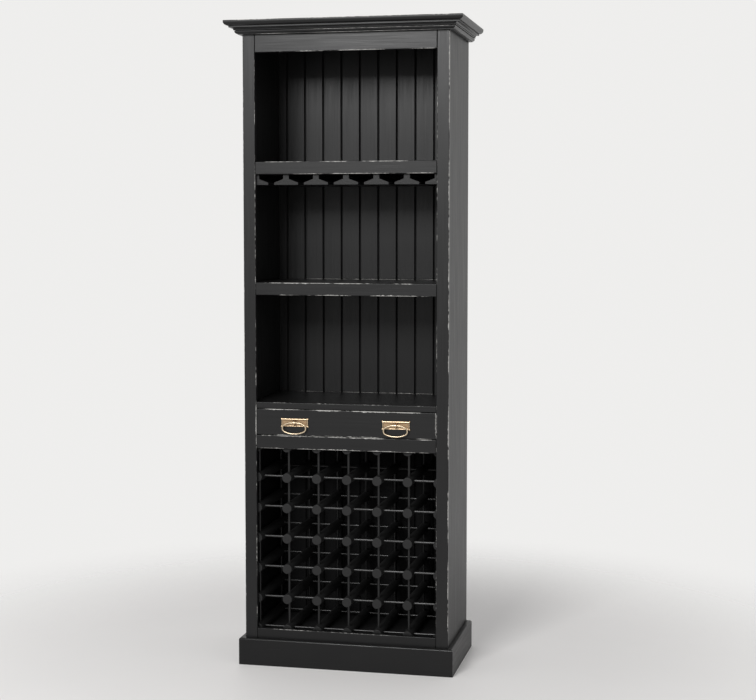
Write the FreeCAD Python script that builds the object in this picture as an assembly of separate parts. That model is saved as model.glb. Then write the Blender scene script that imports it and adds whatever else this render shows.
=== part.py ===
import FreeCAD, Part
import math
import os
from FreeCAD import Vector

# A tall open wine cabinet in painted wood: carcass and face frame, cornice and plinth, a back of
# tongue-and-groove boards, stemware rails, one drawer with two ring pulls, and a rack of round posts.
# Millimetres. X runs to the right, Y to the back, Z up. The origin is on the floor, midway in the outline.

# Overall
overall_height = 2000.0
carcass_width = 645.0
carcass_depth = 352.5
cornice_projection = 47.5

# Board thicknesses
side_thickness = 19.0
shelf_thickness = 38.6
counter_thickness = 19.0
deck_thickness = 19.0
bottom_board_thickness = 19.0
top_board_thickness = 16.0
back_board_thickness = 16.0
frame_thickness = 16.0
plinth_thickness = 17.5

# Face frame, seen from the front
stile_width = 38.0
top_rail_height = 79.0
drawer_rail_height = 41.0
bottom_rail_height = 60.0
bottom_rail_top = 114.6

# Levels
counter_height = 828.6
drawer_opening_height = 84.0
deck_step = 5.5
bottom_board_step = 19.6
plinth_height = 84.7
bay_count = 3

# Joints of the carcass
housing_depth = 6.0
rabbet_depth = 9.0
back_inset = 2.0
shelf_end_gap = 0.3
edge_ease = 2.0

# Edges of the top board and the plinth
top_board_round = 12.0
top_board_ease = 2.0
plinth_round = 6.0

# Cornice moulding under the top board: outline from the foot up, as shares of reach and height,
# with the bulge of the stretch that leads to each point as a share of its chord
cornice_reach = 34.0
cornice_height = 24.5
cornice_outline_shares = [
    (0.00, 0.00, 0.00),
    (0.35, 0.00, 0.00),
    (0.35, 0.06, 0.00),
    (0.58, 0.36, 0.20),
    (0.58, 0.40, 0.00),
    (0.46, 0.40, 0.00),
    (0.46, 0.48, 0.00),
    (0.62, 0.48, 0.00),
    (0.62, 0.62, 0.40),
    (0.66, 0.64, 0.00),
    (0.84, 0.80, -0.22),
    (1.00, 0.80, 0.00),
    (1.00, 1.00, 0.00),
    (0.00, 1.00, 0.00),
]

# Back boards: full boards in the middle and a trimmed one in each rabbet
full_back_board_count = 9
edge_board_share = 0.598
board_joint_gap = 3.6
board_chamfer = 2.0
tongue_length = 5.0
tongue_thickness = 4.0
tongue_setback = 8.0
tongue_clearance = 0.2

# Stemware rails under the upper shelf
stem_slot_count = 6
stem_slot_width = 19.0
stem_rail_height = 32.0
stem_web_width = 18.0
stem_flange_edge = 6.5
stem_shoulder_rise = 11.0
stem_rail_setback = 14.0
stem_rail_rear_gap = 20.5

# Bottle rack
rack_column_count = 7
rack_row_count = 7
post_diameter = 30.0
post_edge_round = 1.2
rod_diameter = 8.0
rod_fit = 0.05
rod_setback = 28.0
rod_spacing = 10.0
rod_end_inset = 2.0
rack_side_gap = 0.5
rack_head_gap = 0.3
rack_front_gap = 0.5
rack_rear_gap = 18.5

# Drawer
drawer_gap = 1.5
drawer_front_thickness = 18.0
drawer_rear_gap = 31.5
drawer_side_thickness = 12.0
drawer_side_height = 66.0
drawer_back_thickness = 12.0
drawer_back_setback = 10.0
drawer_back_drop = 4.0
drawer_bottom_thickness = 5.0
drawer_bottom_rise = 7.5
drawer_groove_depth = 4.0
drawer_front_groove_depth = 6.0
tail_count = 2
tail_first = 26.0
tail_pitch = 26.0
tail_length = 10.0
tail_neck = 12.0
tail_flare = 3.0

# What the drawer runs on
running_gap = 0.3
runner_rise = 0.2
runner_width = 20.0
guide_height = 45.0
stop_offset = 90.0
stop_width = 40.0
stop_depth = 15.0
stop_clearance = 3.5

# Handle plates
handle_end_inset = 123.0
plate_width = 85.0
plate_height = 26.5
plate_thickness = 1.8
plate_band_height = 6.5
plate_border_width = 4.2
plate_ball_diameter = 6.2
plate_ball_overhang = 1.6
knuckle_width = 8.0
knuckle_diameter = 11.2
pin_offset = 12.0
bolt_diameter = 4.0
bolt_head_diameter = 8.0
bolt_head_height = 2.5
bolt_reach = 6.0
bolt_fit = 0.2

# Ring pulls
ring_width = 79.0
ring_height = 38.8
ring_wire_diameter = 4.5
ring_side_radius = 12.0
ring_pin_length = 14.0
pin_fit = 0.08

# One overrun serves all cuts, and one tolerance finds edges by their place
overrun = 1.0
place_tolerance = 0.001

# Places that follow from the sizes
half_width = carcass_width / 2
inside_half = half_width - side_thickness
opening_half = half_width - stile_width
overall_depth = carcass_depth + cornice_projection
back_y = overall_depth / 2
face_y = back_y - carcass_depth
frame_back_y = face_y + frame_thickness
lining_y = back_y - back_inset - back_board_thickness
carcass_top = overall_height - top_board_thickness
top_rail_foot = carcass_top - top_rail_height
bay_height = (top_rail_foot - counter_height - (bay_count - 1) * shelf_thickness) / bay_count
drawer_opening_top = counter_height - counter_thickness
drawer_opening_foot = drawer_opening_top - drawer_opening_height
drawer_rail_foot = drawer_opening_foot - drawer_rail_height
deck_top = drawer_opening_foot - deck_step
deck_foot = deck_top - deck_thickness
bottom_board_top = bottom_rail_top - bottom_board_step
bottom_board_foot = bottom_board_top - bottom_board_thickness
middle_shelf_foot = counter_height + bay_height
upper_shelf_foot = middle_shelf_foot + shelf_thickness + bay_height

front_half = opening_half - drawer_gap
front_foot = drawer_opening_foot + drawer_gap
front_top = drawer_opening_top - drawer_gap
front_back_y = face_y + drawer_front_thickness
drawer_rear_y = lining_y - drawer_rear_gap
drawer_inner_half = front_half - drawer_side_thickness
runner_top = drawer_opening_foot + runner_rise
drawer_foot = runner_top + running_gap
drawer_side_top = drawer_foot + drawer_side_height
groove_foot = drawer_foot + drawer_bottom_rise
groove_top = groove_foot + drawer_bottom_thickness
handle_offset = front_half - handle_end_inset
handle_z = (front_foot + front_top) / 2
pin_y = face_y - pin_offset


# Basic shapes

def block(x0, x1, y0, y1, z0, z1):
    return Part.makeBox(x1 - x0, y1 - y0, z1 - z0, Vector(x0, y0, z0))


def centred_block(half, y0, y1, z0, z1):
    return block(-half, half, y0, y1, z0, z1)


def rod(radius, start, end):
    along = end - start
    return Part.makeCylinder(radius, along.Length, start, along)


def mirrored(solid):
    return solid.mirror(Vector(0, 0, 0), Vector(1, 0, 0))


def extruded_outline(points, along):
    wire = Part.makePolygon(points + points[:1])
    return Part.Face(wire).extrude(along)


def joined(first, *others):
    return first.fuse(list(others)).removeSplitter()


def edges_at_front(solid, y):
    found = []
    for edge in solid.Edges:
        if all(abs(vertex.Y - y) < place_tolerance for vertex in edge.Vertexes):
            found.append(edge)
    return found


def eased_front(solid):
    return solid.makeFillet(edge_ease, edges_at_front(solid, face_y))


def save(name, *solids):
    shape = solids[0] if len(solids) == 1 else Part.makeCompound(list(solids))
    assert shape.isValid() and len(shape.Solids) == len(solids), name
    shape.exportStep(os.path.join("parts", name + ".step"))


# Carcass

def side_panel():
    """Right side panel: a plain board, housed for the shelves and rabbeted for the back."""
    panel = block(inside_half, half_width, frame_back_y, back_y, 0, carcass_top)
    levels = [
        (bottom_board_foot, bottom_board_top),
        (deck_foot, deck_top),
        (drawer_opening_top, counter_height),
        (middle_shelf_foot, middle_shelf_foot + shelf_thickness),
        (upper_shelf_foot, upper_shelf_foot + shelf_thickness),
    ]
    housing_x = inside_half + housing_depth
    cuts = []
    for foot, top in levels:
        cuts.append(block(inside_half - overrun, housing_x, frame_back_y - overrun, lining_y, foot, top))
    rabbet_x = inside_half + rabbet_depth
    cuts.append(block(inside_half - overrun, rabbet_x, lining_y, back_y + overrun,
                      bottom_board_foot, carcass_top + overrun))
    return panel.cut(cuts)


def housed_board(foot, top):
    """A board let into both sides, behind the face frame."""
    return centred_block(inside_half + housing_depth, frame_back_y, lining_y, foot, top)


def notched_shelf(foot, top):
    """A housed board whose front edge comes forward between the stiles, flush with the frame."""
    nose = centred_block(opening_half - shelf_end_gap, face_y, frame_back_y, foot, top)
    return eased_front(joined(housed_board(foot, top), nose))


def top_board():
    """The top, with its lower edge rounded over at the front and both sides and square at the back."""
    half = half_width + cornice_projection
    front = face_y - cornice_projection
    top = overall_height
    foot = carcass_top
    long_way = centred_block(half, front, back_y, foot, top)
    front_edges = edges_at_front(long_way, front)
    low = [edge for edge in front_edges if edge.CenterOfMass.z - foot < place_tolerance]
    long_way = long_way.makeFillet(top_board_round, low)
    short_way = centred_block(half, front, back_y, foot, top)
    low = [edge for edge in short_way.Edges
           if abs(edge.CenterOfMass.z - foot) < place_tolerance
           and abs(abs(edge.CenterOfMass.x) - half) < place_tolerance]
    short_way = short_way.makeFillet(top_board_round, low)
    board = long_way.common(short_way)
    high = [edge for edge in board.Edges
            if abs(edge.CenterOfMass.z - top) < place_tolerance
            and edge.CenterOfMass.y < back_y - place_tolerance]
    return board.makeFillet(top_board_ease, high)


def back_board(left, right, grooved, tongued):
    """One upright board of the back: chamfered at each joint, a groove on its left, a tongue on its right."""
    front = lining_y
    back = lining_y + back_board_thickness
    tongue_front = front + tongue_setback
    tongue_back = tongue_front + tongue_thickness
    groove_front = tongue_front - tongue_clearance
    groove_back = tongue_back + tongue_clearance
    groove_x = left + tongue_length + tongue_clearance
    tongue_x = right + board_joint_gap + tongue_length
    left_chamfer = board_chamfer if grooved else 0
    right_chamfer = board_chamfer if tongued else 0
    outline = [(left + left_chamfer, front), (right - right_chamfer, front)]
    if tongued:
        outline += [(right, front + right_chamfer), (right, tongue_front), (tongue_x, tongue_front),
                    (tongue_x, tongue_back), (right, tongue_back)]
    outline += [(right, back), (left, back)]
    if grooved:
        outline += [(left, groove_back), (groove_x, groove_back), (groove_x, groove_front), (left, groove_front),
                    (left, front + left_chamfer)]
    points = [Vector(x, y, bottom_board_foot) for x, y in outline]
    return extruded_outline(points, Vector(0, 0, carcass_top - bottom_board_foot))


def back_boards():
    lining_half = inside_half + rabbet_depth
    pitch = 2 * lining_half / (full_back_board_count + 2 * edge_board_share)
    first_joint = -pitch * full_back_board_count / 2
    joints = [first_joint + index * pitch for index in range(full_back_board_count + 1)]
    half_gap = board_joint_gap / 2
    lefts = [-lining_half] + [joint + half_gap for joint in joints]
    rights = [joint - half_gap for joint in joints] + [lining_half]
    boards = []
    for left, right in zip(lefts, rights):
        boards.append(back_board(left, right, left > -lining_half, right < lining_half))
    return boards


# Face frame

def stile():
    """Right stile, planted on the front edge of the side panel and proud of it on the inside."""
    board = block(opening_half, half_width, face_y, frame_back_y, 0, carcass_top)
    upright = [edge for edge in edges_at_front(board, face_y) if edge.Length > stile_width]
    return board.makeFillet(edge_ease, upright)


def rail(foot, top):
    return eased_front(centred_block(opening_half - shelf_end_gap, face_y, frame_back_y, foot, top))


# Trim that goes round the front and both sides, mitred at the corners

def bulged_edge(start, end, bulge_share, outward):
    if bulge_share == 0:
        return Part.LineSegment(start, end).toShape()
    chord = end - start
    middle = (start + end) / 2 + outward * (bulge_share * chord.Length)
    return Part.Arc(start, middle, end).toShape()


def band_section(outline, place):
    """The section of a band as a face. Each outline point has its reach, its height and a bulge."""
    edges = []
    for index, (reach, height, bulge_share) in enumerate(outline):
        last_reach, last_height, last_bulge = outline[index - 1]
        start = place(last_reach, last_height)
        end = place(reach, height)
        run = math.hypot(reach - last_reach, height - last_height)
        outward = place((height - last_height) / run, (last_reach - reach) / run) - place(0, 0)
        edges.append(bulged_edge(start, end, bulge_share, outward))
    return Part.Face(Part.Wire(edges))


def mitred_band(outline, foot, top, projection):
    """The front, left and right lengths of a band on the carcass, cut to each other at 45 degrees."""
    outer_half = half_width + projection
    front = face_y - projection
    depth = Vector(0, 0, top - foot)
    run_x = Vector(2 * outer_half, 0, 0)
    run_y = Vector(0, back_y - front, 0)
    front_band = band_section(outline, lambda p, z: Vector(-outer_half, face_y - p, foot + z)).extrude(run_x)
    side_band = band_section(outline, lambda p, z: Vector(half_width + p, front, foot + z)).extrude(run_y)
    front_plan = [Vector(-half_width, face_y, foot), Vector(half_width, face_y, foot),
                  Vector(outer_half, front, foot), Vector(-outer_half, front, foot)]
    side_plan = [Vector(half_width, face_y, foot), Vector(outer_half, front, foot),
                 Vector(outer_half, back_y, foot), Vector(half_width, back_y, foot)]
    front_piece = front_band.common(extruded_outline(front_plan, depth))
    right_piece = side_band.common(extruded_outline(side_plan, depth))
    return front_piece, mirrored(right_piece), right_piece


def cornice():
    outline = [(cornice_reach * reach_share, cornice_height * height_share, bulge_share)
               for reach_share, height_share, bulge_share in cornice_outline_shares]
    return mitred_band(outline, carcass_top - cornice_height, carcass_top, cornice_reach)


def plinth():
    quarter_round_bulge_share = (math.sqrt(2) - 1) / 2
    outline = [
        (0, 0, 0),
        (plinth_thickness, 0, 0),
        (plinth_thickness, plinth_height - plinth_round, 0),
        (plinth_thickness - plinth_round, plinth_height, quarter_round_bulge_share),
        (0, plinth_height, 0),
    ]
    return mitred_band(outline, 0, plinth_height, plinth_thickness)


# Stemware rails

def stem_rails():
    """Inverted-T rails that glass feet slide between, with a half rail beside each stile."""
    pitch = 2 * opening_half / stem_slot_count
    web = stem_web_width / 2
    flange = (pitch - stem_slot_width) / 2
    top = upper_shelf_foot
    foot = top - stem_rail_height
    edge = foot + stem_flange_edge
    neck = edge + stem_shoulder_rise
    front = face_y + stem_rail_setback
    right_half = [(web, top), (web, neck), (flange, edge), (flange, foot)]
    left_half = [(-x, z) for x, z in reversed(right_half)]
    along = Vector(0, lining_y - stem_rail_rear_gap - front, 0)
    rails = []
    for index in range(stem_slot_count + 1):
        middle = index * pitch - opening_half
        if index == 0:
            outline = [(0, top)] + right_half + [(0, foot)]
        elif index == stem_slot_count:
            outline = [(0, foot)] + left_half + [(0, top)]
        else:
            outline = right_half + left_half
        points = [Vector(middle + x, front, z) for x, z in outline]
        rails.append(extruded_outline(points, along))
    return rails


# Bottle rack

post_radius = post_diameter / 2
rack_front_y = frame_back_y + rack_front_gap
rack_rear_y = lining_y - rack_rear_gap
column_reach = inside_half - rack_side_gap - post_radius
column_pitch = 2 * column_reach / (rack_column_count - 1)
first_row_z = bottom_board_top + post_radius
last_row_z = deck_foot - rack_head_gap - post_radius
row_pitch = (last_row_z - first_row_z) / (rack_row_count - 1)
column_places = [index * column_pitch - column_reach for index in range(rack_column_count)]
row_places = [first_row_z + index * row_pitch for index in range(rack_row_count)]
upright_rod_places = [rack_front_y + rod_setback, rack_rear_y - rod_setback]
cross_rod_places = [rack_front_y + rod_setback + rod_spacing, rack_rear_y - rod_setback - rod_spacing]


def rack_post():
    """One post on the Y axis, drilled for two cross rods and two upright rods."""
    post = rod(post_radius, Vector(0, rack_front_y, 0), Vector(0, rack_rear_y, 0))
    post = post.makeFillet(post_edge_round, edges_at_front(post, rack_front_y))
    bore = rod_diameter / 2 + rod_fit
    reach = post_radius + overrun
    holes = [rod(bore, Vector(-reach, y, 0), Vector(reach, y, 0)) for y in cross_rod_places]
    holes += [rod(bore, Vector(0, y, -reach), Vector(0, y, reach)) for y in upright_rod_places]
    return post.cut(holes)


def post_row(post, z):
    return [post.translated(Vector(x, 0, z)) for x in column_places]


def cross_rods():
    reach = column_reach + post_radius - rod_end_inset
    radius = rod_diameter / 2
    return [rod(radius, Vector(-reach, y, z), Vector(reach, y, z)) for y in cross_rod_places for z in row_places]


def upright_rods():
    foot = first_row_z - post_radius + rod_end_inset
    top = last_row_z + post_radius - rod_end_inset
    radius = rod_diameter / 2
    return [rod(radius, Vector(x, y, foot), Vector(x, y, top)) for y in upright_rod_places for x in column_places]


# Drawer

def tails():
    """Dovetail tails of the right drawer side, which fill the sockets in the front."""
    neck = tail_neck / 2
    tip = neck + tail_flare
    tip_y = front_back_y - tail_length
    shapes = []
    for index in range(tail_count):
        middle = drawer_foot + tail_first + index * tail_pitch
        outline = [(front_back_y, middle - neck), (front_back_y, middle + neck),
                   (tip_y, middle + tip), (tip_y, middle - tip)]
        points = [Vector(drawer_inner_half, y, z) for y, z in outline]
        shapes.append(extruded_outline(points, Vector(drawer_side_thickness, 0, 0)))
    return shapes


def drawer_back_span():
    rear = drawer_rear_y - drawer_back_setback
    return rear - drawer_back_thickness, rear


def drawer_side():
    """Right drawer side: tails at the front, a groove for the bottom and a housing for the back."""
    side = block(drawer_inner_half, front_half, front_back_y, drawer_rear_y, drawer_foot, drawer_side_top)
    groove_x = drawer_inner_half + drawer_groove_depth
    inner_x = drawer_inner_half - overrun
    back_start, back_end = drawer_back_span()
    groove = block(inner_x, groove_x, front_back_y, drawer_rear_y + overrun, groove_foot, groove_top)
    housing = block(inner_x, groove_x, back_start, back_end, groove_top, drawer_side_top + overrun)
    return joined(side, *tails()).cut([groove, housing])


def drawer_front():
    """Drawer front, flush in its opening, with sockets for the tails and a hole for each handle bolt."""
    board = eased_front(centred_block(front_half, face_y, front_back_y, front_foot, front_top))
    sockets = tails()
    sockets += [mirrored(tail) for tail in sockets]
    groove_half = drawer_inner_half + drawer_groove_depth
    groove = centred_block(groove_half, front_back_y - drawer_front_groove_depth, front_back_y + overrun,
                           groove_foot, groove_top)
    hole = bolt_diameter / 2 + bolt_fit
    holes = [rod(hole, Vector(x, face_y - overrun, handle_z), Vector(x, front_back_y + overrun, handle_z))
             for x in (-handle_offset, handle_offset)]
    return board.cut(sockets + [groove] + holes)


def drawer_back():
    back_start, back_end = drawer_back_span()
    half = drawer_inner_half + drawer_groove_depth
    return centred_block(half, back_start, back_end, groove_top, drawer_side_top - drawer_back_drop)


def drawer_bottom():
    half = drawer_inner_half + drawer_groove_depth
    return centred_block(half, front_back_y - drawer_front_groove_depth, drawer_rear_y, groove_foot, groove_top)


def drawer_runner():
    return block(opening_half - runner_width, opening_half, frame_back_y, lining_y, deck_top, runner_top)


def drawer_guide():
    return block(opening_half, inside_half, frame_back_y, lining_y, deck_top, deck_top + guide_height)


def drawer_stop():
    """Block behind the lower edge of the drawer front, low enough for the drawer bottom to pass over."""
    front = front_back_y + running_gap
    half = stop_width / 2
    top = groove_foot - stop_clearance
    return block(stop_offset - half, stop_offset + half, front, front + stop_depth, deck_top, top)


# Handles

def handle_plate(middle_x):
    """Cast plate: a wide half-round band on top, half-round borders, corner balls and a bored knuckle."""
    half = plate_width / 2
    foot = handle_z - plate_height / 2
    front_y = face_y - plate_thickness
    border = plate_border_width / 2
    band = plate_band_height / 2
    ball = plate_ball_diameter / 2
    half_round_share = 0.5

    def in_front_of(shape, y):
        return shape.common(block(middle_x - plate_width, middle_x + plate_width, y - plate_width, y,
                                  handle_z - plate_width, handle_z + plate_width))

    plate_outline = [
        (0, 0, 0),
        (plate_thickness, 0, 0),
        (plate_thickness, plate_border_width, half_round_share),
        (plate_thickness, plate_height - plate_band_height, 0),
        (plate_thickness, plate_height, half_round_share),
        (0, plate_height, 0),
    ]
    plate = band_section(plate_outline, lambda p, z: Vector(middle_x - half, face_y - p, foot + z))
    pieces = []
    knuckle = knuckle_diameter / 2
    knuckle_outline = [(0, -knuckle, 0), (pin_offset, -knuckle, 0), (pin_offset, knuckle, half_round_share),
                       (0, knuckle, 0)]
    knuckle_end = middle_x - knuckle_width / 2
    lug = band_section(knuckle_outline, lambda p, z: Vector(knuckle_end, face_y - p, handle_z + z))
    pieces.append(lug.extrude(Vector(knuckle_width, 0, 0)))
    low_z = foot + border
    high_z = foot + plate_height - band
    for turn in (-1, 1):
        border_x = middle_x + turn * (half - border)
        upright = rod(border, Vector(border_x, front_y, low_z), Vector(border_x, front_y, high_z))
        pieces.append(in_front_of(upright, front_y))
        ball_x = border_x + turn * plate_ball_overhang
        for ball_z in (low_z - plate_ball_overhang, high_z + plate_ball_overhang):
            pieces.append(in_front_of(Part.makeSphere(ball, Vector(ball_x, front_y, ball_z)), face_y))
    casting = joined(plate.extrude(Vector(plate_width, 0, 0)), *pieces)
    bore = ring_wire_diameter / 2 + pin_fit
    pin_hole = rod(bore, Vector(knuckle_end - overrun, pin_y, handle_z),
                   Vector(knuckle_end + knuckle_width + overrun, pin_y, handle_z))
    bolt_hole = rod(bolt_diameter / 2 + pin_fit, Vector(middle_x, face_y - bolt_reach - running_gap, handle_z),
                    Vector(middle_x, face_y + overrun, handle_z))
    return casting.cut([pin_hole, bolt_hole])


def handle_bolt(middle_x):
    """Bolt from inside the drawer front into the back of the knuckle."""
    seat = Vector(middle_x, front_back_y, handle_z)
    head_end = Vector(middle_x, front_back_y + bolt_head_height, handle_z)
    tip = Vector(middle_x, face_y - bolt_reach, handle_z)
    return joined(rod(bolt_diameter / 2, tip, head_end), rod(bolt_head_diameter / 2, seat, head_end))


def ring_path(middle_x):
    """Oval centre line of tangent arcs, hanging from a straight length that turns in the knuckle."""
    wire = ring_wire_diameter / 2
    half = ring_width / 2 - wire
    rise = ring_height / 2 - wire
    pin = ring_pin_length / 2
    side = ring_side_radius
    centre_z = handle_z - rise

    def place(x, z):
        return Vector(middle_x + x, pin_y, centre_z + z)

    def flat_radius(straight):
        reach = half - straight - side
        return (reach ** 2 + rise ** 2 - side ** 2) / (2 * (rise - side))

    def meeting_angle(straight):
        return math.atan2(flat_radius(straight) - rise, half - side - straight)

    upper = meeting_angle(pin)
    lower = meeting_angle(0)

    def side_point(angle, turn):
        return place(turn * (half - side + side * math.cos(angle)), side * math.sin(angle))

    def upper_point(angle, turn):
        radius = flat_radius(pin)
        return place(turn * (pin + radius * math.cos(angle)), rise - radius + radius * math.sin(angle))

    quarter = math.pi / 2
    mid_upper = (upper + quarter) / 2
    edges = [Part.LineSegment(place(-pin, rise), place(pin, rise))]
    edges.append(Part.Arc(place(pin, rise), upper_point(mid_upper, 1), side_point(upper, 1)))
    edges.append(Part.Arc(side_point(upper, 1), side_point(0, 1), side_point(-lower, 1)))
    edges.append(Part.Arc(side_point(-lower, 1), place(0, -rise), side_point(-lower, -1)))
    edges.append(Part.Arc(side_point(-lower, -1), side_point(0, -1), side_point(upper, -1)))
    edges.append(Part.Arc(side_point(upper, -1), upper_point(mid_upper, -1), place(-pin, rise)))
    return Part.Wire([edge.toShape() for edge in edges])


def ring_pull(middle_x):
    path = ring_path(middle_x)
    start = Vector(middle_x - ring_pin_length / 2, pin_y, handle_z)
    section = Part.Wire(Part.makeCircle(ring_wire_diameter / 2, start, Vector(1, 0, 0)))
    return path.makePipeShell([section], True, False)


# Every piece, written to its own file

os.makedirs("parts", exist_ok=True)

right_side = side_panel()
save("right_side_panel", right_side)
save("left_side_panel", mirrored(right_side))
save("bottom_board", housed_board(bottom_board_foot, bottom_board_top))
save("drawer_deck", housed_board(deck_foot, deck_top))
save("counter_shelf", notched_shelf(drawer_opening_top, counter_height))
save("middle_shelf", notched_shelf(middle_shelf_foot, middle_shelf_foot + shelf_thickness))
save("upper_shelf", notched_shelf(upper_shelf_foot, upper_shelf_foot + shelf_thickness))
save("top_board", top_board())
for number, board in enumerate(back_boards(), start=1):
    save("back_board_%02d" % number, board)

right_stile = stile()
save("right_stile", right_stile)
save("left_stile", mirrored(right_stile))
save("top_rail", rail(top_rail_foot, carcass_top))
save("drawer_rail", rail(drawer_rail_foot, drawer_opening_foot))
save("bottom_rail", rail(bottom_rail_top - bottom_rail_height, bottom_rail_top))

for trim, lengths in (("cornice", cornice()), ("plinth", plinth())):
    for place_name, length in zip(("front", "left", "right"), lengths):
        save(trim + "_" + place_name, length)

for number, stem_rail in enumerate(stem_rails(), start=1):
    save("stem_rail_%d" % number, stem_rail)

single_post = rack_post()
for number, row_z in enumerate(row_places, start=1):
    save("rack_post_row_%d" % number, *post_row(single_post, row_z))
save("rack_cross_rods", *cross_rods())
save("rack_upright_rods", *upright_rods())

right_drawer_side = drawer_side()
save("drawer_front", drawer_front())
save("drawer_right_side", right_drawer_side)
save("drawer_left_side", mirrored(right_drawer_side))
save("drawer_back", drawer_back())
save("drawer_bottom", drawer_bottom())
for piece_name, right_piece in (("runners", drawer_runner()), ("guides", drawer_guide()), ("stops", drawer_stop())):
    save("drawer_" + piece_name, mirrored(right_piece), right_piece)

save("left_handle_plate", handle_plate(-handle_offset))
save("right_handle_plate", handle_plate(handle_offset))
save("left_ring_pull", ring_pull(-handle_offset))
save("right_ring_pull", ring_pull(handle_offset))
save("handle_bolts", handle_bolt(-handle_offset), handle_bolt(handle_offset))
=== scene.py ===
import math
from collections import namedtuple

import bmesh
import bpy
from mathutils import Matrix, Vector


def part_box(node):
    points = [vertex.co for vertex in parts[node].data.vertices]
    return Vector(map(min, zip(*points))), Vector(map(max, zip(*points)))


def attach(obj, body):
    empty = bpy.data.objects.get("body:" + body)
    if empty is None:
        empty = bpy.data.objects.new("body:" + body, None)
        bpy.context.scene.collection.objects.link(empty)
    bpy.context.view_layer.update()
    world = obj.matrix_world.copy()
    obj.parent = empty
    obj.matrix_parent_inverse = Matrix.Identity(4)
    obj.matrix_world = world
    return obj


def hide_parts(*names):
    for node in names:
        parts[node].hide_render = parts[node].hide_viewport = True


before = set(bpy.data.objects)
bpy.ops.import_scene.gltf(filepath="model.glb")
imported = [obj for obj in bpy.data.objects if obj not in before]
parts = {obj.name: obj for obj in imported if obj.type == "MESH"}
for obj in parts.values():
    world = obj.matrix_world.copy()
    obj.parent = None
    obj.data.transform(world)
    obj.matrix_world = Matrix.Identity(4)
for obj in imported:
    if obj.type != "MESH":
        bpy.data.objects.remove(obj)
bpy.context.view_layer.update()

scene = bpy.context.scene
scene.view_settings.view_transform = "Standard"


# Camera: at chest height, nearly five metres in front of the cabinet and to its right, with a
# long lens. The small shift keeps the uprights close to parallel, as they are in the photograph.
camera_place = Vector((1.133, -4.818, 1.388))
camera_yaw = 0.2172
camera_pitch = -0.0701
camera_sensor = 36.0
camera_lens = 74.83
camera_shift = -0.0238

camera_data = bpy.data.cameras.new("camera")
camera_data.sensor_width = camera_sensor
camera_data.lens = camera_lens
camera_data.shift_y = camera_shift
camera = bpy.data.objects.new("camera", camera_data)
camera.location = camera_place
camera.rotation_euler = (math.pi / 2 + camera_pitch, 0, camera_yaw)
scene.collection.objects.link(camera)
scene.camera = camera


# Studio: a plain pale floor that fades into an even pale surround, so that no horizon shows.
# One large soft light stands high at the front left, and the surround fills the shadows.
floor_radius = 4.0
floor_sides = 96
floor_fade_start = 0.7
floor_fade_end = 2.0
floor_colour = (0.87, 0.855, 0.84, 1)
floor_colour_paler = (0.9048, 0.8892, 0.8736, 1)
floor_lift = 0.08
surround_seen = (0.86, 0.855, 0.845, 1)
surround_fill = (0.40, 0.40, 0.405, 1)
key_place = Vector((-0.75, -4.6, 3.15))
key_target = Vector((0.0, 0.0, 0.95))
key_width = 1.5
key_height = 1.3
key_power = 165.0
mix_first_colour, mix_second_colour, mix_colour_out = 6, 7, 2


def add_node(tree, kind, inputs=None, **settings):
    """Adds a shader node, sets its options, and feeds its inputs with values or with outputs."""
    node = tree.nodes.new("ShaderNode" + kind)
    for option, value in settings.items():
        setattr(node, option, value)
    for socket, value in (inputs or {}).items():
        if isinstance(value, bpy.types.NodeSocket):
            tree.links.new(value, node.inputs[socket])
        else:
            node.inputs[socket].default_value = value
    return node


def arithmetic(tree, operation, *values):
    """The result of one sum on numbers."""
    return add_node(tree, "Math", dict(enumerate(values)), operation=operation).outputs[0]


def vector_sum(tree, operation, *values):
    """The result of one sum on vectors, axis by axis."""
    inputs = dict(enumerate(values))
    return add_node(tree, "VectorMath", inputs, operation=operation).outputs["Vector"]


def length(tree, vector):
    """The length of a vector."""
    return add_node(tree, "VectorMath", {0: vector}, operation="LENGTH").outputs["Value"]


def ranged(tree, value, start, end, low=0.0, high=1.0, easing="LINEAR"):
    """Goes from low to high as value goes from start to end, and stays level beyond them."""
    inputs = {"Value": value, "From Min": start, "From Max": end, "To Min": low, "To Max": high}
    return add_node(tree, "MapRange", inputs, interpolation_type=easing).outputs["Result"]


def noise(tree, place, scale, detail, roughness=0.5, distortion=0.0):
    """A cloudy pattern between 0 and 1."""
    inputs = {"Vector": place, "Scale": scale, "Detail": detail, "Roughness": roughness,
              "Distortion": distortion}
    return add_node(tree, "TexNoise", inputs).outputs["Fac"]


def blended_colour(tree, share, first, second):
    """Colour that goes from the first to the second as share goes from 0 to 1."""
    inputs = {"Factor": share, mix_first_colour: first, mix_second_colour: second}
    return add_node(tree, "Mix", inputs, data_type="RGBA").outputs[mix_colour_out]


def new_material(name):
    """A material with an empty node tree, its output node, and the place on the object."""
    material = bpy.data.materials.new(name)
    material.use_nodes = True
    tree = material.node_tree
    tree.nodes.clear()
    output = tree.nodes.new("ShaderNodeOutputMaterial")
    return material, tree, output, add_node(tree, "TexCoord").outputs["Object"]


def plainly_seen(tree):
    """1 for a ray from the camera, a gloss or a clear surface, 0 for one that only carries light."""
    ray = add_node(tree, "LightPath").outputs
    seen = arithmetic(tree, "MAXIMUM", ray["Is Camera Ray"], ray["Is Glossy Ray"])
    return arithmetic(tree, "MAXIMUM", seen, ray["Is Transmission Ray"])


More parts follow.
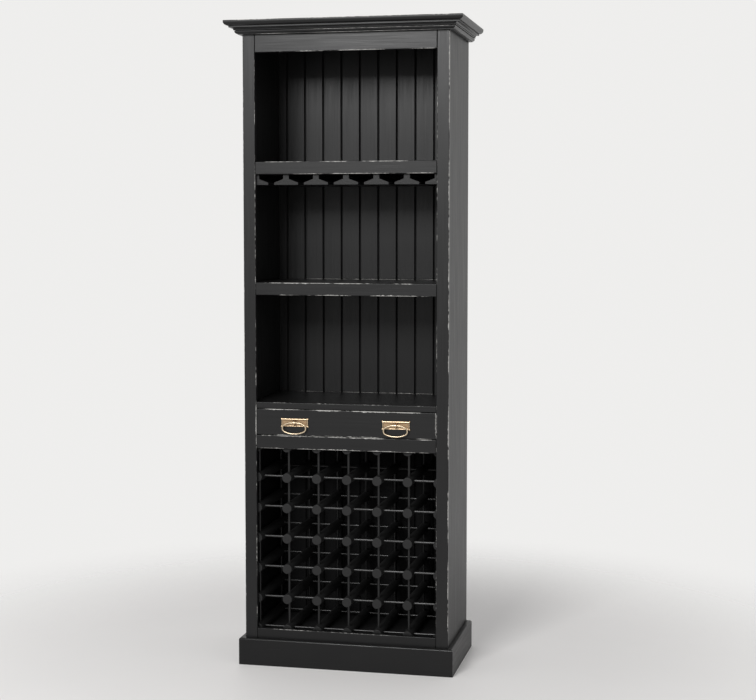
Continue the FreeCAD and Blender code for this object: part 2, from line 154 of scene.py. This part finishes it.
def pale_floor():
    """Matt floor that fades away at a distance, lifted a little for rays that see it plainly."""
    material, tree, output, place = new_material("pale_floor")
    fade = ranged(tree, length(tree, place), floor_fade_start, floor_fade_end, easing="SMOOTHSTEP")
    mottle = noise(tree, place, 3.0, 4.0)
    lift = arithmetic(tree, "MULTIPLY", plainly_seen(tree), floor_lift)
    surface = add_node(tree, "BsdfPrincipled", {
        "Base Color": blended_colour(tree, mottle, floor_colour, floor_colour_paler),
        "Roughness": 0.55, "Specular IOR Level": 0.3,
        "Emission Color": floor_colour, "Emission Strength": lift})
    clear = add_node(tree, "BsdfTransparent")
    mix = add_node(tree, "MixShader", {0: fade, 1: surface.outputs[0], 2: clear.outputs[0]})
    tree.links.new(mix.outputs[0], output.inputs["Surface"])
    return material


floor_mesh = bmesh.new()
bmesh.ops.create_circle(floor_mesh, cap_ends=True, segments=floor_sides, radius=floor_radius)
floor_data = bpy.data.meshes.new("floor")
floor_mesh.to_mesh(floor_data)
floor_mesh.free()
floor_data.materials.append(pale_floor())
floor = bpy.data.objects.new("floor", floor_data)
scene.collection.objects.link(floor)

world = bpy.data.worlds.new("studio")
world.use_nodes = True
world_tree = world.node_tree
world_tree.nodes.clear()
world_colour = blended_colour(world_tree, plainly_seen(world_tree), surround_fill, surround_seen)
surround = add_node(world_tree, "Background", {"Color": world_colour})
world_output = world_tree.nodes.new("ShaderNodeOutputWorld")
world_tree.links.new(surround.outputs[0], world_output.inputs["Surface"])
scene.world = world

key_data = bpy.data.lights.new("key", "AREA")
key_data.shape = "RECTANGLE"
key_data.size = key_width
key_data.size_y = key_height
key_data.energy = key_power
key = bpy.data.objects.new("key", key_data)
key.location = key_place
key.rotation_euler = (key_target - key_place).to_track_quat("-Z", "Y").to_euler()
scene.collection.objects.link(key)


# Side panels: two plain upright boards the full height of the carcass, housed for the shelves and
# rabbeted for the back. Brushed with satin black paint, which on the cabinet's arrises is rubbed
# through to pale wood where hands and cloths reach.
x_axis, y_axis, z_axis = range(3)
upright_grain = (200.0, 200.0, 6.0)
paint_deep = (0.0066, 0.0066, 0.0070, 1)
paint_thin = (0.0110, 0.0109, 0.0110, 1)
# Flat paint, darker than the satin as painted shade for places deep inside the cabinet
flat_shade_paint = (0.0050, 0.0050, 0.0052, 1)
# Painted shade: the near-black that crevices and inner corners are darkened to
painted_crevice_shade = (0.0020, 0.0020, 0.0021, 1)
# Pale colours of the worn arrises; on a few arrises the same colours are painted highlights
bare_wood = (0.64, 0.625, 0.60, 1)
rubbed_primer = (0.32, 0.315, 0.30, 1)
satin_roughness = 0.36
satin_shine = 0.27
side_roughness = 0.43
side_shine = 0.22
# How far from an inner corner the painted shade in crevices reaches
crevice_shade_reach = 0.012
brush_relief = 0.28
brush_depth = 0.0010
wear_stroke_scale = 8.0
wear_nick_scale = 70.0
wear_narrowest = 0.35
wear_taper = 0.06
wear_rim = 0.0008
wear_offset = 7.0

# A pale edge line, mostly wear and on a few edges a painted highlight: the axis that it follows,
# a point on it, how far the line reaches, and its two ends
Arris = namedtuple("Arris", ["direction", "corner", "reach", "start", "end"])


def coordinate(tree, place, axis):
    """The coordinate of a place along one axis."""
    return add_node(tree, "SeparateXYZ", {0: place}).outputs[axis]


def noise_along(tree, run, scale, detail):
    """A pattern between 0 and 1 that changes only along a line."""
    inputs = {"W": run, "Scale": scale, "Detail": detail}
    return add_node(tree, "TexNoise", inputs, noise_dimensions="1D").outputs["Fac"]


def pale_arris_line(tree, place, ragged, arris):
    """Share of pale bare-wood colour along one arris: long tapering strokes with a ragged rim. It is
    wear, and on a few arrises a painted highlight. Each arris reads the noise from a place of its
    own."""
    across = tuple(0.0 if axis == arris.direction else 1.0 for axis in range(3))
    away = vector_sum(tree, "SUBTRACT", place, arris.corner)
    distance = length(tree, vector_sum(tree, "MULTIPLY", away, across))
    run = coordinate(tree, place, arris.direction)
    shifted = arithmetic(tree, "ADD", run, wear_offset * sum(arris.corner))
    strokes = noise_along(tree, shifted, wear_stroke_scale, 2.0)
    nicks = noise_along(tree, shifted, wear_nick_scale, 3.0)
    width = ranged(tree, strokes, 0.34, 0.60, wear_narrowest * arris.reach, arris.reach)
    rise = ranged(tree, run, arris.start, arris.start + wear_taper)
    fall = ranged(tree, run, arris.end, arris.end - wear_taper)
    width = arithmetic(tree, "MULTIPLY", width, arithmetic(tree, "MULTIPLY", rise, fall))
    width = arithmetic(tree, "MULTIPLY", width, arithmetic(tree, "MULTIPLY_ADD", nicks, 1.6, 0.2))
    width = arithmetic(tree, "MULTIPLY", width, arithmetic(tree, "MULTIPLY_ADD", ragged, 1.2, 0.4))
    depth = arithmetic(tree, "SUBTRACT", width, distance)
    return ranged(tree, depth, 0.0, wear_rim, easing="SMOOTHSTEP")


def painted_wood(name, grain, worn=(), roughness=satin_roughness, shine=satin_shine,
                 flat=(), shaded_flat_paint=flat_shade_paint, hollow=crevice_shade_reach):
    """Satin black brush paint with fine strokes along the grain. It is bare on the worn arrises, and
    on a few arrises that pale line is a painted highlight. It is darker in crevices up to the width
    hollow, as painted shade, and flat where every range in flat, an axis and two coordinates, has
    been passed, with its colour there darkened as painted shade."""
    material, tree, output, place = new_material(name)
    strokes = noise(tree, vector_sum(tree, "MULTIPLY", place, grain), 1.0, 6.0, 0.62)
    clouds = noise(tree, place, 4.5, 3.0)
    ragged = noise(tree, place, 240.0, 4.0, 0.7)
    colour = blended_colour(tree, clouds, paint_deep, paint_thin)
    rough = ranged(tree, strokes, 0.3, 0.7, roughness - 0.05, roughness + 0.07)

    # In the flat region the paint is rougher, and darker as painted shade
    flat_shaded_share = None
    for axis, start, end in flat:
        share = ranged(tree, coordinate(tree, place, axis), start, end)
        flat_shaded_share = arithmetic(tree, "MULTIPLY", flat_shaded_share, share) if flat_shaded_share else share
    if flat_shaded_share:
        colour = blended_colour(tree, flat_shaded_share, colour, shaded_flat_paint)
        rough = arithmetic(tree, "MULTIPLY_ADD", flat_shaded_share, 0.5, rough)

    # Painted shade: darker, rougher paint in crevices and inner corners, where shade falls
    open_share = add_node(tree, "AmbientOcclusion", {"Distance": hollow}, samples=6).outputs["AO"]
    crevice_shade = ranged(tree, open_share, 0.80, 0.40)
    colour = blended_colour(tree, crevice_shade, colour, painted_crevice_shade)
    rough = arithmetic(tree, "MULTIPLY_ADD", crevice_shade, 0.3, rough)

    bare = None
    for arris in worn:
        line = pale_arris_line(tree, place, ragged, arris)
        bare = arithmetic(tree, "MAXIMUM", bare, line) if bare else line
    if bare:
        pale_line_colour = blended_colour(tree, ragged, rubbed_primer, bare_wood)
        colour = blended_colour(tree, bare, colour, pale_line_colour)
        rough = arithmetic(tree, "MULTIPLY_ADD", bare, 0.3, rough)

    relief = add_node(tree, "Bump", {"Height": strokes, "Strength": brush_relief,
                                     "Distance": brush_depth})
    surface = add_node(tree, "BsdfPrincipled", {
        "Base Color": colour, "Roughness": rough, "Specular IOR Level": shine,
        "Normal": relief.outputs["Normal"]})
    tree.links.new(surface.outputs[0], output.inputs["Surface"])
    return material


def dress(material, *names):
    """Gives CAD pieces a finish through their own material slots."""
    for name in names:
        for slot in parts[name].material_slots:
            slot.material = material


dress(painted_wood("black_side_paint", upright_grain, roughness=side_roughness, shine=side_shine),
      "left_side_panel", "right_side_panel")


# Shelves: two thick shelves, the thinner counter over the drawer, the deck under it and the bottom
# board. They are housed into the sides, with noses that come forward between the stiles, and their
# front arrises are rubbed to bare wood in long broken strokes.
lengthwise_grain = (6.0, 200.0, 200.0)
board_flat_shade_depth = 0.01

# Each shelf with its paint, and for each worn arris its edge, reach, start and end
shelf_wear = (
    ("upper_shelf", "black_upper_shelf_paint",
     (("top", 0.0020, -0.29, 0.28), ("foot", 0.0023, -0.20, 0.32))),
    ("middle_shelf", "black_middle_shelf_paint",
     (("top", 0.0023, -0.29, 0.12), ("top", 0.0025, 0.12, 0.26),
      ("foot", 0.0029, -0.24, 0.05), ("foot", 0.0027, 0.05, 0.28))),
    ("counter_shelf", "black_counter_paint",
     (("top", 0.0012, -0.30, 0.30),)),
)


def lengthwise_arris(node, edge, reach, start, end):
    """The front arris at the top or the foot of a board that lies across the cabinet."""
    low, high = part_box(node)
    return Arris(x_axis, (0.0, low[1], high[2] if edge == "top" else low[2]), reach, start, end)


for node, paint, wear in shelf_wear:
    arrises = [lengthwise_arris(node, *line) for line in wear]
    dress(painted_wood(paint, lengthwise_grain, arrises), node)
# Behind their front edges the deck and the bottom board are flat and darkened as painted shade
board_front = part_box("bottom_board")[0][1]
dress(painted_wood("black_board_paint", lengthwise_grain,
                   flat=[(y_axis, board_front, board_front + board_flat_shade_depth)]),
      "drawer_deck", "bottom_board")


# Back: eleven tongue-and-groove boards with an open V joint, let into rabbets in the sides and
# nailed to the rear edges of the shelves. They are painted with the rest, satin in the bays and
# flat inside the rack, where the colour is also darkened as painted shade, and a thin pale line
# runs along them where they meet the shelves.
back_names = ["back_board_%02d" % number for number in range(1, 12)]
back_shine = 0.23
back_flat_shade_depth = 0.001
shelf_line_reach = 0.0012
shelf_line_start = -0.26
shelf_line_end = 0.34
nail_radius = 0.0031
nail_rise = 0.0009
nail_sides = 12
nail_profile_shares = ((1.0, 0.0), (0.94, 0.55), (0.62, 0.88), (0.25, 1.0))
nail_place_shares = (0.25, 0.70)
nailed_boards = ("bottom_board", "drawer_deck", "counter_shelf", "middle_shelf", "upper_shelf")


def add_nail(mesh, x, y, z):
    """One domed nail head on the rear face of a back board."""
    rings = []
    for width_share, rise_share in nail_profile_shares:
        radius = nail_radius * width_share
        ring = []
        for side in range(nail_sides):
            turn = 2 * math.pi * side / nail_sides
            ring.append(mesh.verts.new((x + radius * math.cos(turn), y + nail_rise * rise_share,
                                        z + radius * math.sin(turn))))
        rings.append(ring)
    for lower, upper in zip(rings, rings[1:]):
        for side in range(nail_sides):
            after = (side + 1) % nail_sides
            mesh.faces.new((lower[side], upper[side], upper[after], lower[after]))
    mesh.faces.new(rings[0])
    mesh.faces.new(reversed(rings[-1]))


deck_low, deck_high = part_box("drawer_deck")
lining_low, lining_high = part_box("back_board_01")
# A thin pale line on the back boards along the top of each shelf
shelf_lines = [Arris(x_axis, (0.0, lining_low[1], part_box(shelf)[1][2]),
                     shelf_line_reach, shelf_line_start, shelf_line_end)
               for shelf in ("counter_shelf", "middle_shelf", "upper_shelf")]
# Inside the rack the back boards' front faces are flat and darkened as painted shade
back_paint = painted_wood("black_back_paint", upright_grain, shelf_lines, shine=back_shine,
                          flat=[(z_axis, deck_high[2], deck_low[2]),
                                (y_axis, lining_high[1], lining_high[1] - back_flat_shade_depth)])
dress(back_paint, *back_names)

nail_mesh = bmesh.new()
for back_name in back_names:
    back_low, back_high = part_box(back_name)
    for held_by in nailed_boards:
        held_low, held_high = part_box(held_by)
        for share in nail_place_shares:
            add_nail(nail_mesh, back_low[0] + share * (back_high[0] - back_low[0]), back_high[1],
                     (held_low[2] + held_high[2]) / 2)
bmesh.ops.recalc_face_normals(nail_mesh, faces=nail_mesh.faces)
nail_data = bpy.data.meshes.new("back_nails")
nail_mesh.to_mesh(nail_data)
nail_mesh.free()
nail_data.materials.append(back_paint)
back_nails = bpy.data.objects.new("back_nails", nail_data)
scene.collection.objects.link(back_nails)
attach(back_nails, "cabinet")


# Face frame: two stiles and three rails, glued flush on the front of the carcass with eased edges.
# The paint is rubbed away along the arrises, most of all beside and below the drawer, and the
# faint pale lines the full height of the stiles' inner arrises are painted highlights.
bottom_rail_shine = 0.22

# Each stile or rail with its paint, and for each pale arris its edge, reach, start and end. The
# full-height lines on the stiles' inner arrises are painted highlights; the rest are wear.
stile_wear_and_highlights = (
    ("left_stile", "black_left_stile_paint",
     (("left", 0.0014, 0.06, 1.98), ("right", 0.0015, 0.10, 1.92), ("right", 0.0025, 0.68, 0.87))),
    ("right_stile", "black_right_stile_paint",
     (("right", 0.0022, 0.10, 2.04), ("left", 0.0014, 0.10, 1.92))),
)
rail_wear = (
    ("top_rail", "black_top_rail_paint", satin_shine,
     (("foot", 0.0021, -0.26, 0.32),)),
    ("drawer_rail", "black_drawer_rail_paint", satin_shine,
     (("top", 0.0025, -0.30, 0.30), ("foot", 0.0026, -0.30, 0.30))),
    ("bottom_rail", "black_bottom_rail_paint", bottom_rail_shine,
     (("top", 0.0015, -0.28, 0.30),)),
)


def upright_arris(node, edge, reach, start, end):
    """The upright front arris at the right or the left of a board."""
    low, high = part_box(node)
    return Arris(z_axis, (high[0] if edge == "right" else low[0], low[1], 0.0), reach, start, end)


for node, paint, wear in stile_wear_and_highlights:
    arrises = [upright_arris(node, *line) for line in wear]
    dress(painted_wood(paint, upright_grain, arrises), node)
for node, paint, shine, wear in rail_wear:
    arrises = [lengthwise_arris(node, *line) for line in wear]
    dress(painted_wood(paint, lengthwise_grain, arrises, shine=shine), node)


# Cornice and top: a moulding in three mitred lengths under a top board with a rounded lower edge.
# Run on a spindle moulder, pinned in place and painted.
depthwise_grain = (200.0, 6.0, 200.0)
# The moulding's hollows and the top board get a wider painted shade
moulding_shade_reach = 0.03
top_wear = ("top", 0.0018, -0.38, 0.38)
cornice_wear_and_highlight_reach = 0.0011
# Arrises of the moulding with pale lines, partly wear and partly painted highlights, as shares of
# its reach and height, with their two ends
cornice_wear_and_highlight_shares = ((0.35, 0.0, -0.30, 0.34), (0.58, 0.40, -0.20, 0.36))

dress(painted_wood("black_top_paint", lengthwise_grain, [lengthwise_arris("top_board", *top_wear)],
                   hollow=moulding_shade_reach), "top_board")
frame_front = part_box("top_rail")[0][1]
moulding_low, moulding_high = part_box("cornice_front")
moulding_reach = frame_front - moulding_low[1]
moulding_height = moulding_high[2] - moulding_low[2]
# Pale lines along the moulding's arrises: wear that also stands in for their highlights
cornice_arrises = [Arris(x_axis, (0.0, frame_front - reach_share * moulding_reach,
                                  moulding_low[2] + height_share * moulding_height),
                         cornice_wear_and_highlight_reach, start, end)
                   for reach_share, height_share, start, end in cornice_wear_and_highlight_shares]
dress(painted_wood("black_cornice_paint", lengthwise_grain, cornice_arrises,
                   hollow=moulding_shade_reach), "cornice_front")
dress(painted_wood("black_cornice_return_paint", depthwise_grain), "cornice_left", "cornice_right")


# Plinth: three mitred boards round the foot of the carcass, with the top edge rounded over.
# Painted wood, glued and pinned on after the face frame.
plinth_roughness = 0.22
plinth_shine = 0.21
plinth_return_roughness = 0.40
plinth_return_shine = 0.22

dress(painted_wood("black_plinth_paint", lengthwise_grain,
                   roughness=plinth_roughness, shine=plinth_shine), "plinth_front")
dress(painted_wood("black_plinth_return_paint", depthwise_grain,
                   roughness=plinth_return_roughness, shine=plinth_return_shine),
      "plinth_left", "plinth_right")


# Stemware rails: inverted-T lengths of moulded wood, with a half rail beside each stile.
# Screwed up under the upper shelf and painted with it.
stem_rail_names = ["stem_rail_%d" % number for number in range(1, 8)]

dress(painted_wood("black_stem_rail_paint", depthwise_grain), *stem_rail_names)


# Bottle rack: turned posts drilled crosswise and threaded on rods, front and rear, like a wooden
# lattice. Sprayed black before it goes in: the rods and the posts' front ends have a sheen, and the
# rest is dead flat, its colour darkened further as painted shade.
post_row_names = ["rack_post_row_%d" % number for number in range(1, 8)]
post_roughness = 0.45
post_shine = 0.32
post_flat_shade_start = 0.001
post_flat_shade_end = 0.004
# Near-black for the posts behind their front ends: dead flat paint, darkened as painted shade
dead_flat_shade_paint = (0.0012, 0.0012, 0.0013, 1)
cross_rod_roughness = 0.30
cross_rod_shine = 0.5
upright_rod_roughness = 0.34
upright_rod_shine = 0.34

# Behind their front ends the posts are dead flat and darkened as painted shade
post_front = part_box(post_row_names[0])[0][1]
dress(painted_wood("black_post_paint", depthwise_grain, roughness=post_roughness, shine=post_shine,
                   flat=[(y_axis, post_front + post_flat_shade_start, post_front + post_flat_shade_end)],
                   shaded_flat_paint=dead_flat_shade_paint), *post_row_names)
dress(painted_wood("black_cross_rod_paint", lengthwise_grain,
                   roughness=cross_rod_roughness, shine=cross_rod_shine), "rack_cross_rods")
dress(painted_wood("black_upright_rod_paint", upright_grain,
                   roughness=upright_rod_roughness, shine=upright_rod_shine), "rack_upright_rods")


# Drawer: a dovetailed softwood box behind a painted front, on runners with side guides and stop
# blocks. The box is planed and clear sealed, and the front is worn along its top and foot, and at
# its right end, where it is pulled.
drawer_top_wear = ("top", 0.0032, -0.28, 0.26)
drawer_foot_wear = ("foot", 0.0021, -0.29, 0.30)
drawer_end_wear = ("right", 0.0018, 0.68, 0.87)
softwood_lengthwise = (4.0, 70.0, 70.0)
softwood_depthwise = (70.0, 4.0, 70.0)
early_wood = (0.66, 0.50, 0.30, 1)
late_wood = (0.46, 0.29, 0.13, 1)
pale_fibre = (0.72, 0.58, 0.38, 1)


def planed_softwood(name, grain):
    """Clear-sealed pine: soft growth bands along the grain with fine fibres in them."""
    material, tree, output, place = new_material(name)
    along = vector_sum(tree, "MULTIPLY", place, grain)
    bands = noise(tree, along, 1.0, 2.0, distortion=0.8)
    fibres = noise(tree, along, 5.0, 4.0, 0.65)
    late_share = ranged(tree, bands, 0.47, 0.62, easing="SMOOTHSTEP")
    colour = blended_colour(tree, late_share, early_wood, late_wood)
    colour = blended_colour(tree, fibres, colour, pale_fibre)
    relief = add_node(tree, "Bump", {"Height": fibres, "Strength": 0.2, "Distance": 0.0004})
    surface = add_node(tree, "BsdfPrincipled", {
        "Base Color": colour, "Roughness": 0.5, "Specular IOR Level": 0.35,
        "Normal": relief.outputs["Normal"]})
    tree.links.new(surface.outputs[0], output.inputs["Surface"])
    return material


dress(painted_wood("black_drawer_paint", lengthwise_grain,
                   [lengthwise_arris("drawer_front", *drawer_top_wear),
                    lengthwise_arris("drawer_front", *drawer_foot_wear),
                    upright_arris("drawer_front", *drawer_end_wear)]), "drawer_front")
dress(planed_softwood("drawer_lengthwise_wood", softwood_lengthwise),
      "drawer_back", "drawer_bottom", "drawer_stops")
dress(planed_softwood("drawer_depthwise_wood", softwood_depthwise),
      "drawer_left_side", "drawer_right_side", "drawer_runners", "drawer_guides")


# Handles: cast brass plates bolted through the drawer front, each with an oval ring that swings in
# its knuckle. The castings are softened at every corner, dulled in the hollows and polished on the
# high places.
plate_dull = (0.35, 0.245, 0.15, 1)
plate_bright = (0.66, 0.525, 0.36, 1)
plate_hollow = 0.0021
ring_dull = (0.45, 0.355, 0.235, 1)
ring_bright = (0.68, 0.57, 0.42, 1)
brass_tarnish = (0.14, 0.085, 0.055, 1)
brass_step = 0.0012
zinc_dark = (0.46, 0.46, 0.47, 1)
zinc_pale = (0.64, 0.64, 0.65, 1)
cast_weld = 0.00001
cast_voxel = 0.0005
cast_smoothing = 4


def aged_brass(name, dull, bright, hollow_y):
    """Cast brass, polished on its high places and dull in the hollows behind the depth hollow_y."""
    material, tree, output, place = new_material(name)
    mottle = noise(tree, place, 320.0, 4.0)
    open_share = add_node(tree, "AmbientOcclusion", {"Distance": 0.006}, samples=8).outputs["AO"]
    open_share = ranged(tree, open_share, 0.35, 0.88)
    high = ranged(tree, coordinate(tree, place, y_axis), hollow_y, hollow_y - brass_step)
    clean = blended_colour(tree, high, dull, bright)
    clean = blended_colour(tree, mottle, clean, dull)
    relief = add_node(tree, "Bump", {"Height": mottle, "Strength": 0.12, "Distance": 0.0003})
    surface = add_node(tree, "BsdfPrincipled", {
        "Base Color": blended_colour(tree, open_share, brass_tarnish, clean),
        "Roughness": ranged(tree, high, 0.0, 1.0, 0.42, 0.31), "Metallic": 1.0,
        "Normal": relief.outputs["Normal"]})
    tree.links.new(surface.outputs[0], output.inputs["Surface"])
    return material


def plated_steel(name):
    """Zinc-plated bolt heads with a faint spangle."""
    material, tree, output, place = new_material(name)
    spangle = noise(tree, place, 900.0, 2.0)
    surface = add_node(tree, "BsdfPrincipled", {
        "Base Color": blended_colour(tree, spangle, zinc_dark, zinc_pale),
        "Roughness": ranged(tree, spangle, 0.0, 1.0, 0.28, 0.45), "Metallic": 1.0})
    tree.links.new(surface.outputs[0], output.inputs["Surface"])
    return material


def cast_copy(node, name, material):
    """A softened copy of a CAD casting: remeshed finely, then smoothed to round every corner."""
    piece = bpy.data.objects.new(name, parts[node].data.copy())
    scene.collection.objects.link(piece)
    weld = piece.modifiers.new("weld", "WELD")
    weld.merge_threshold = cast_weld
    skin = piece.modifiers.new("skin", "REMESH")
    skin.mode = "VOXEL"
    skin.voxel_size = cast_voxel
    smooth = piece.modifiers.new("smooth", "SMOOTH")
    smooth.factor = 0.5
    smooth.iterations = cast_smoothing
    depsgraph = bpy.context.evaluated_depsgraph_get()
    shape = bpy.data.meshes.new_from_object(piece.evaluated_get(depsgraph))
    piece.modifiers.clear()
    piece.data = shape
    shape.materials.clear()
    shape.materials.append(material)
    shape.shade_smooth()
    return piece


drawer_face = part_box("drawer_front")[0][1]
plate_brass = aged_brass("plate_brass", plate_dull, plate_bright, drawer_face - plate_hollow)
ring_brass = aged_brass("ring_brass", ring_dull, ring_bright, drawer_face)
for side in ("left", "right"):
    plate = cast_copy(side + "_handle_plate", side + "_cast_plate", plate_brass)
    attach(plate, "drawer")
    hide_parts(side + "_handle_plate")
    dress(ring_brass, side + "_ring_pull")
dress(plated_steel("bolt_plating"), "handle_bolts")
